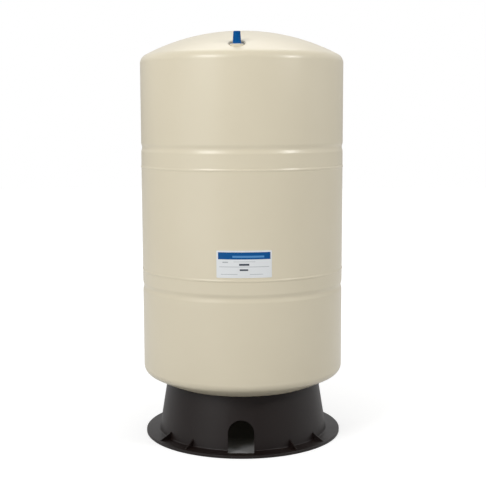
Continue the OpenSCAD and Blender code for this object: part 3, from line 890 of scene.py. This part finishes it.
def valve_stem():
    """The brass stem: screwed shank, hexagon, and the fine thread that takes the cap."""
    tube_z = STEM_HEX_Z + STEM_HEX_H
    thread_z = tube_z + STEM_CHAMFER
    thread_top_z = STEM_TOP_Z - STEM_CHAMFER
    outline = [(AIR_BORE_R, STEM_FOOT_Z), (SHANK_R, STEM_FOOT_Z), (SHANK_R, STEM_HEX_Z)]
    outline += hex_rows(STEM_HEX_AF, STEM_HEX_CHAMFER, STEM_HEX_Z, tube_z)
    outline += [(STEM_R - STEM_THREAD_D, tube_z)]
    outline += thread_rows(STEM_R, STEM_THREAD_D, STEM_THREAD_PITCH, thread_z, thread_top_z)
    outline += [(STEM_R - STEM_CHAMFER, STEM_TOP_Z), (CORE_BORE_R, STEM_TOP_Z)]
    outline += [(CORE_BORE_R, SPRING_Z), (AIR_BORE_R, SPRING_Z)]
    shape = lathe(outline, centre=VALVE)
    piece(shape, "brass_valve_stem", BRASS, "valve_stem")


def core_spring():
    """The spring that closes the valve's core."""
    rise = SPRING_TOP_Z - SPRING_Z - 2 * SPRING_WIRE_R
    rings = []
    for i in range(SPRING_RINGS * SPRING_TURNS + 1):
        turn = i / SPRING_RINGS
        middle_z = SPRING_Z + SPRING_WIRE_R + rise * turn / SPRING_TURNS
        ring = []
        for side in range(SPRING_SIDES):
            tilt = TAU * side / SPRING_SIDES
            reach = SPRING_R + SPRING_WIRE_R * math.cos(tilt)
            x = VALVE_X + reach * math.cos(TAU * turn)
            y = VALVE_Y + reach * math.sin(TAU * turn)
            ring.append((x, y, middle_z + SPRING_WIRE_R * math.sin(tilt)))
        rings.append(ring)
    spring = piece(tube(rings), "wound_core_spring", ZINC_STEEL, "core_spring")
    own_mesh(spring)


def fluted(radius, share):
    """Radius of the cap round its axis where its flutes have a share of their depth."""
    pitch = TAU / CAP_FLUTES
    def at(angle):
        off_flute = radius * (angle % pitch - pitch / 2)
        inside = max(0, 1 - (off_flute / FLUTE_R) ** 2)
        return radius - share * FLUTE_R * math.sqrt(inside)
    return at


def valve_cap():
    """The blue cap: a plain band at its foot, grip flutes and a rounded top."""
    foot_z = cap_low.z
    band_z = foot_z + CAP_BAND_H
    edge_z = cap_high.z - CAP_EDGE
    hex_top_z = foot_z + CAP_HEX_H
    outline = [(CAP_THREAD_R, hex_top_z), (CAP_HEX_R, hex_top_z), (CAP_HEX_R, foot_z)]
    outline += [(CAP_FOOT_R - CAP_FOOT_EDGE, foot_z), (CAP_FOOT_R, foot_z + CAP_FOOT_EDGE)]
    for i in range(CAP_ROWS + 1):
        height = band_z + (edge_z - band_z) * i / CAP_ROWS
        radius = CAP_FOOT_R + (CAP_TOP_R - CAP_FOOT_R) * i / CAP_ROWS
        share = min(1, (height - band_z) / FLUTE_RUNOUT, (edge_z - height) / FLUTE_RUNOUT)
        outline.append((fluted(radius, share), height))
    for i in range(1, CAP_EDGE_STEPS + 1):
        a = TAU / 4 * i / CAP_EDGE_STEPS
        outline.append((CAP_TOP_R - CAP_EDGE * (1 - math.cos(a)), edge_z + CAP_EDGE * math.sin(a)))
    outline += [(0, cap_high.z), (0, CAP_ROOF_Z), (CAP_THREAD_R, CAP_ROOF_Z)]
    shape = lathe(outline, CAP_FLUTES * FLUTE_SEGMENTS, VALVE)
    piece(shape, "fluted_valve_cap", BLUE_PLASTIC, "valve_cap", "valve_cap")


# Water connection

def water_nipple():
    """The connection: pipe thread below, shank through the shell, and a flange that is sealed
    inside."""
    end_z = nipple_low.z
    top_z = nipple_high.z
    thread_top_z = end_z + PIPE_THREAD_LEN
    flange_z = top_z - NIPPLE_FLANGE_T
    groove_in_r = O_RING_R - O_RING_SECTION / 2 - FIXED_GAP
    groove_out_r = O_RING_R + O_RING_SECTION / 2 + FIXED_GAP
    groove_z = flange_z + O_RING_SECTION + FIXED_GAP
    outline = [(NIPPLE_BORE_R, end_z), (PIPE_R - PIPE_CHAMFER, end_z)]
    outline += thread_rows(PIPE_R, PIPE_THREAD_D, PIPE_THREAD_PITCH, end_z + PIPE_CHAMFER, thread_top_z)
    outline += rounded([
        (NIPPLE_SHANK_R, thread_top_z, NIPPLE_SHANK_EDGE), (NIPPLE_SHANK_R, flange_z, 0),
        (PIPE_R, flange_z, 0), (PIPE_R, thread_top_z, 0)])[:-2]
    outline += [(groove_in_r, flange_z), (groove_in_r, groove_z)]
    outline += [(groove_out_r, groove_z), (groove_out_r, flange_z)]
    outline += [(NIPPLE_FLANGE_R, flange_z), (NIPPLE_FLANGE_R, top_z), (NIPPLE_BORE_R, top_z)]
    shape = lathe(outline)
    piece(shape, "threaded_water_nipple", STAINLESS, "water_nipple")


def nipple_washer():
    """The washer between the shell and the lock nut."""
    low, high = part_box("nipple_washer")
    outline = washer_outline(NIPPLE_HOLE_R, high.x, low.z, high.z, NIPPLE_WASHER_EDGE, NIPPLE_WASHER_EDGE)
    shape = lathe(outline)
    piece(shape, "pressed_nipple_washer", ZINC_STEEL, "nipple_washer")


def nut_outline(across_flats, chamfer, hole_r, low, high):
    """Closed outline of a chamfered nut with a countersunk hole."""
    sink = NUT_SINK_SHARE * chamfer
    outline = [(hole_r, low + sink), (hole_r + sink, low)]
    outline += hex_rows(across_flats, chamfer, low, high)
    return outline + [(hole_r + sink, high), (hole_r, high - sink)]


def nipple_nut():
    """The lock nut of the water connection."""
    low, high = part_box("nipple_nut")
    shape = lathe(nut_outline(NIPPLE_NUT_AF, NIPPLE_NUT_CHAMFER, NIPPLE_HOLE_R, low.z, high.z))
    piece(shape, "chamfered_nipple_nut", ZINC_STEEL, "nipple_nut")


# Stand

def skirt_r(height):
    """Outer radius of the skirt at a height."""
    top_z = dish_z(SKIRT_TOP_R, 0)
    return SKIRT_FOOT_R + (SKIRT_TOP_R - SKIRT_FOOT_R) * (height - FLANGE_T) / (top_z - FLANGE_T)


def stand_outline():
    """Closed outline of the skirt with its flange below and the seat for the shell on top."""
    inner_foot_r = SKIRT_FOOT_R - SKIRT_T
    seat_in_r = SKIRT_TOP_R - STAND_SEAT_W
    top_z = dish_z(SKIRT_TOP_R, 0)
    seat_under_z = top_z - STAND_SEAT_H
    haunch_z = seat_under_z - STAND_SEAT_W
    return rounded([
        (inner_foot_r, 0, STAND_FOOT_ROUND),
        (FLANGE_R, 0, FLANGE_FOOT_ROUND),
        (FLANGE_R, FLANGE_LIP, FLANGE_LIP_ROUND),
        (FLANGE_R - FLANGE_BEVEL, FLANGE_T, FLANGE_LIP_ROUND),
        (SKIRT_FOOT_R, FLANGE_T, SKIRT_FOOT_ROUND),
        (SKIRT_TOP_R, top_z, SKIRT_TOP_ROUND),
        (seat_in_r, dish_z(seat_in_r, 0), STAND_SEAT_ROUND),
        (seat_in_r, seat_under_z, SKIRT_TOP_ROUND),
        (skirt_r(haunch_z) - SKIRT_T, haunch_z, SKIRT_INNER_ROUND),
        (inner_foot_r, FLANGE_T, SKIRT_INNER_ROUND),
    ])


def extruded(outline, thickness):
    """An upright slab towards the front from an outline of (distance from the axis, height)."""
    sides = (-thickness / 2, thickness / 2)
    return tube([[(x, -reach, height) for reach, height in outline] for x in sides])


def stand_rib():
    """One rib between the flange and the skirt, at the front."""
    foot_r = FLANGE_R - RIB_INSET
    top_z = FLANGE_T + RIB_H
    sunk_z = FLANGE_T / 2
    sunk_r = skirt_r(top_z) - SKIRT_T / 2
    rib = extruded([
        (sunk_r, sunk_z), (foot_r, sunk_z), (foot_r, FLANGE_T + RIB_TOE),
        (skirt_r(top_z), top_z), (sunk_r, top_z)], RIB_T)
    shown = [e for e in rib.edges if min(v.co.z for v in e.verts) > FLANGE_T]
    bmesh.ops.bevel(rib, geom=shown, offset=RIB_EDGE, segments=2, affect="EDGES", clamp_overlap=True)
    return rib


def lug_edge(angle):
    """Distance from a stud's axis to the edge of its lug, which ends inside the skirt."""
    half_w = LUG_W / 2
    across = max(abs(math.sin(angle)), TINY)
    along = max(abs(math.cos(angle)), TINY)
    front = skirt_r(LUG_Z) - SKIRT_T / 2 - STUD_REACH
    end = front if math.cos(angle) > 0 else half_w
    return min(half_w / across, end / along)


def stand_lug():
    """One lug inside the skirt, with the hole for a stud, at the front."""
    top_z = LUG_Z + LUG_T
    outline = [(STUD_HOLE_R, LUG_Z), (lug_edge, LUG_Z), (lug_edge, top_z), (STUD_HOLE_R, top_z)]
    return lathe(outline, centre=FRONT_STUD)


def stand_doorway():
    """The space of the doorway, turned with the stand: upright jambs under a round arch."""
    reach = SKIRT_FOOT_R + DOOR_SILL
    depth = reach - SKIRT_TOP_R + STAND_SEAT_W + SKIRT_T
    arch_z = DOOR_H - DOOR_W / 2
    outline = [(-DOOR_W / 2, -CUT_PAST), (DOOR_W / 2, -CUT_PAST)]
    outline += [(-x, z) for x, z in arc(0, arch_z, DOOR_W / 2, 1.5 * math.pi, TAU / 4, ARCH_STEPS)]
    turn = math.radians(STAND_TURN)
    rings = []
    for distance in (reach, reach - depth):
        ring = []
        for x, z in outline:
            turned_x = x * math.cos(turn) + distance * math.sin(turn)
            turned_y = x * math.sin(turn) - distance * math.cos(turn)
            ring.append((turned_x, turned_y, z))
        rings.append(ring)
    return tube(rings)


def stand():
    """The moulded stand: skirt, flange, ribs and lugs in one piece, with the doorway cut out."""
    body = new_object(lathe(stand_outline(), STAND_SEGMENTS), "moulded_stand")
    for first in RIB_FIRSTS:
        ribs = turned_copies(stand_rib(), "stand_ribs", RIB_PAIRS, first, RIB_STEP, BLACK_PLASTIC)
        combine(body, ribs, "UNION")
    lugs = turned_copies(stand_lug(), "stand_lugs", STUD_COUNT, STUD_FIRST, STUD_STEP, BLACK_PLASTIC)
    combine(body, lugs, "UNION")
    combine(body, new_object(stand_doorway(), "doorway"), "DIFFERENCE")
    dress(body, "vessel", BLACK_PLASTIC, "stand")


def stand_stud():
    """One stud at the front, threaded below and welded to the lower head on top."""
    low_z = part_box("stand_studs")[0].z
    outline = [(0, low_z), (STUD_R - STUD_THREAD_D, low_z)]
    outline += thread_rows(STUD_R, STUD_THREAD_D, STUD_THREAD_PITCH, low_z + STUD_CHAMFER, LUG_Z)
    outline += [(STUD_R, dish_z), (0, dish_z(*FRONT_STUD))]
    return lathe(outline, centre=FRONT_STUD)


def stand_washer():
    """One washer at the front."""
    low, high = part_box("stand_washers")
    outline = washer_outline(STUD_FIT_R, STUD_WASHER_R, low.z, high.z, STUD_WASHER_EDGE, STUD_WASHER_EDGE)
    return lathe(outline, centre=FRONT_STUD)


def stand_nut():
    """One nut at the front."""
    low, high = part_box("stand_nuts")
    outline = nut_outline(STUD_NUT_AF, STUD_NUT_CHAMFER, STUD_FIT_R, low.z, high.z)
    return lathe(outline, centre=FRONT_STUD)


def stand_fixings():
    """Studs, washers and nuts that hold the stand to the vessel."""
    for shape, name, node in (
        (stand_stud(), "threaded_studs", "stand_studs"),
        (stand_washer(), "pressed_stand_washers", "stand_washers"),
        (stand_nut(), "chamfered_stand_nuts", "stand_nuts"),
    ):
        fixings = turned_copies(shape, name, STUD_COUNT, STUD_FIRST, STUD_STEP, ZINC_STEEL)
        dress(fixings, "vessel", ZINC_STEEL, node)


# Label

def label_columns():
    """Upright rows of points across the label, as (distance from its left side, drop at its ends)."""
    corner = [TAU / 4 * i / LABEL_CORNER_STEPS for i in range(LABEL_CORNER_STEPS, -1, -1)]
    left = [(LABEL_CORNER * (1 - math.sin(a)), LABEL_CORNER * (1 - math.cos(a))) for a in corner]
    span = LABEL_W - 2 * LABEL_CORNER
    middle = [(LABEL_CORNER + span * i / LABEL_FLAT_STEPS, 0) for i in range(1, LABEL_FLAT_STEPS)]
    right = [(LABEL_W - across, down) for across, down in left[::-1]]
    return left + middle + right


def rating_label():
    """The film on the wall, with round corners. Its map runs from 0 to 1 along each side."""
    height = label_high.z - label_low.z
    back_r = SHELL_R + FIXED_GAP
    front_r = back_r + LABEL_T
    rings = []
    shares = []
    for across, down in label_columns():
        angle = math.radians(LABEL_TURN) + (across - LABEL_W / 2) / SHELL_R
        up = height - down
        ring = []
        for radius, level in ((back_r, down), (front_r, down), (front_r, up), (back_r, up)):
            ring.append((radius * math.sin(angle), -radius * math.cos(angle), label_low.z + level))
            shares.append((across / LABEL_W, level / height))
        rings.append(ring)
    shape = tube(rings)
    shape.verts.index_update()
    prints = shape.loops.layers.uv.new("print")
    for face in shape.faces:
        for loop in face.loops:
            loop[prints].uv = shares[loop.vert.index]
    piece(shape, "printed_label", LABEL_FILM, "rating_label")


def finish_inner_nodes():
    """Finishes of the CAD nodes that stay as they are."""
    finishes = {
        "liner": WHITE_PLASTIC,
        "clench_ring": ZINC_STEEL,
        "nipple_o_ring": RUBBER,
        "core_barrel": BRASS,
        "core_gasket": RED_RUBBER,
        "core_pin": ZINC_STEEL,
        "core_cup": BRASS,
        "cap_seal": RUBBER,
    }
    for name, finish in finishes.items():
        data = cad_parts[name].data
        data.materials.clear()
        data.materials.append(finish)


# Studio

FLOOR_SIZE = 14
FLOOR_DROP = 0.2 * MM
# Tones of the floor beside the stand, and of the painted shade under its rim and deep under it, and how far
# out the last two lie
FLOOR_TONE = 0.52
FLOOR_PAINTED_SHADE_TONE = 0.25
FLOOR_DEEP_PAINTED_SHADE_TONE = 0.07
PAINTED_SHADE_OUTER_REACH = 0.13
PAINTED_SHADE_INNER_REACH = 0.07
# Share of the light that the floor lets through under the stand
UNDER_CLEAR = 0.7
# Glow of the floor at the stand's edge and far out, and how far out these lie
FLOOR_GLOW_NEAR = 0.62
FLOOR_GLOW_FAR = 0.9
FLOOR_NEAR = 0.19
FLOOR_FAR = 1.1
# Strengths of the surround: for matt surfaces, and as it is mirrored
AMBIENT = 0.36
MIRRORED_FRONT = 0.2
MIRRORED_LOW = 0.42
MIRRORED_HIGH = 0.97
MIRRORED_FLOOR = 0.6
# Steepness of the way from front to back, and from low to high, in the mirrored surround
MIRRORED_TURN = 0.3
MIRRORED_RISE = 0.35
SENSOR_MM = 36
LENS_MM = 75.59
CAMERA_PLACE = (0.0014, -1.9933, 0.6158)
CAMERA_TILT = 83.076
CAMERA_ROLL = -0.2
LIGHT_TARGET = Vector((0, 0, 0.45))


def floor_look(tree):
    """The floor's tone and glow, and whether a place is outside the stand. Under the stand the floor has no
    glow, and painted shade darkens its tone inwards. Beside it there is some glow, and far out it is white."""
    place = new_node(tree, "ShaderNodeTexCoord")
    length = new_node(tree, "ShaderNodeVectorMath", {0: place.outputs["Object"]}, operation="LENGTH")
    reach = length.outputs["Value"]
    outside = math_value(tree, "GREATER_THAN", reach, FLOOR_NEAR)
    fade = map_value(tree, reach, (FLOOR_NEAR, FLOOR_FAR), (FLOOR_GLOW_NEAR, FLOOR_GLOW_FAR), "SMOOTHSTEP")
    glow = math_value(tree, "MULTIPLY", outside, fade)
    # Painted shade: the floor's tone under the stand darkens from its rim towards its middle, standing in
    # for the shade inside the skirt
    shade = map_value(tree, reach, (PAINTED_SHADE_INNER_REACH, PAINTED_SHADE_OUTER_REACH), (FLOOR_DEEP_PAINTED_SHADE_TONE, FLOOR_PAINTED_SHADE_TONE))
    tone = map_value(tree, outside, (0, 1), (shade, FLOOR_TONE))
    return tone, glow, outside


def floor_finish():
    """Pale floor that keeps the shadow, with painted shade under the stand, and glows towards white where
    it is seen or mirrored. It is clear from below, and under the stand it lets light through to the stand's
    underside."""
    material, tree, shader = new_finish("pale_floor")
    path = new_node(tree, "ShaderNodeLightPath")
    side = new_node(tree, "ShaderNodeNewGeometry")
    tone, glow, outside = floor_look(tree)
    seen = math_value(tree, "MAXIMUM", path.outputs["Is Camera Ray"], path.outputs["Is Transmission Ray"])
    mirrored = math_value(tree, "MULTIPLY", path.outputs["Is Glossy Ray"], MIRRORED_FLOOR)
    shown = math_value(tree, "MAXIMUM", seen, mirrored)
    lighting = math_value(tree, "MAXIMUM", path.outputs["Is Diffuse Ray"], path.outputs["Is Shadow Ray"])
    under = math_value(tree, "GREATER_THAN", lighting, outside)
    passed = math_value(tree, "MULTIPLY", under, UNDER_CLEAR)
    feed(tree, shader, {
        # The tone carries the painted shade under the stand
        "Base Color": tone,
        "Roughness": 0.9,
        "Specular IOR Level": 0,
        "Emission Color": (1, 1, 1, 1),
        "Emission Strength": math_value(tree, "MULTIPLY", shown, glow),
    })
    clear = new_node(tree, "ShaderNodeBsdfTransparent")
    mix = new_node(tree, "ShaderNodeMixShader", {
        "Fac": math_value(tree, "MAXIMUM", side.outputs["Backfacing"], passed),
        1: shader.outputs["BSDF"],
        2: clear.outputs["BSDF"],
    })
    feed(tree, tree.nodes["Material Output"], {"Surface": mix.outputs["Shader"]})
    return material


def floor():
    """A wide level floor under the stand."""
    shape = bmesh.new()
    half = FLOOR_SIZE / 2
    corners = [(-half, -half), (half, -half), (half, half), (-half, half)]
    shape.faces.new([shape.verts.new((x, y, -FLOOR_DROP)) for x, y in corners])
    plane = new_object(shape, "studio_floor")
    plane.data.materials.append(floor_finish())


def white_surround():
    """White where it is seen, and a soft ambient light for the surfaces. Mirrored rays see a dimmer
    room: dark in front of the vessel, and behind it grey below and nearly white above."""
    world = bpy.data.worlds.new("white_surround")
    bpy.context.scene.world = world
    world.use_nodes = True
    tree = world.node_tree
    path = new_node(tree, "ShaderNodeLightPath")
    way = new_node(tree, "ShaderNodeTexCoord")
    parts = new_node(tree, "ShaderNodeSeparateXYZ", {"Vector": way.outputs["Generated"]})
    behind = map_value(tree, parts.outputs["Y"], (-MIRRORED_TURN, MIRRORED_TURN), (0, 1), "SMOOTHSTEP")
    rise = map_value(tree, parts.outputs["Z"], (0, MIRRORED_RISE), (MIRRORED_LOW, MIRRORED_HIGH))
    mirrored = map_value(tree, behind, (0, 1), (MIRRORED_FRONT, rise))
    lit = map_value(tree, path.outputs["Is Glossy Ray"], (0, 1), (AMBIENT, mirrored))
    seen = math_value(tree, "MAXIMUM", path.outputs["Is Camera Ray"], path.outputs["Is Transmission Ray"])
    strength = map_value(tree, seen, (0, 1), (lit, 1))
    feed(tree, tree.nodes["Background"], {"Color": (1, 1, 1, 1), "Strength": strength})


def soft_box(name, place, width, height, power):
    """A rectangular soft light aimed at the vessel."""
    data = bpy.data.lights.new(name, "AREA")
    data.shape = "RECTANGLE"
    data.size = width
    data.size_y = height
    data.energy = power
    lamp = link_object(name, data)
    lamp.location = place
    lamp.rotation_euler = (LIGHT_TARGET - Vector(place)).to_track_quat("-Z", "Y").to_euler()


def camera():
    """The photograph's view: level with the upper wall and tilted slightly down."""
    data = bpy.data.cameras.new("camera")
    data.sensor_width = SENSOR_MM
    data.lens = LENS_MM
    view = link_object("camera", data)
    view.location = CAMERA_PLACE
    tilt = Matrix.Rotation(math.radians(CAMERA_TILT), 3, "X")
    roll = Matrix.Rotation(math.radians(CAMERA_ROLL), 3, "Z")
    view.rotation_euler = (tilt @ roll).to_euler()
    bpy.context.scene.camera = view


camera()
upper_shell()
middle_shell()
lower_shell()
diaphragm()
valve_boss()
valve_washer()
valve_stem()
core_spring()
valve_cap()
water_nipple()
nipple_washer()
nipple_nut()
stand()
stand_fixings()
rating_label()
finish_inner_nodes()
floor()
white_surround()
soft_box("key_left", place=(-1.15, -1.50, 1.56), width=0.8, height=0.8, power=22)
soft_box("side_left", place=(-1.32, -1.23, 0.62), width=1.5, height=1.2, power=4.5)
soft_box("fill_right", place=(1.30, -0.92, 1.26), width=0.3, height=0.3, power=9.4)
soft_box("side_right", place=(1.60, -0.10, 0.70), width=0.9, height=1.2, power=1.5)
soft_box("behind_top", place=(0, 0.75, 2.35), width=1.4, height=1.5, power=11)

bpy.context.scene.view_settings.view_transform = "Standard"
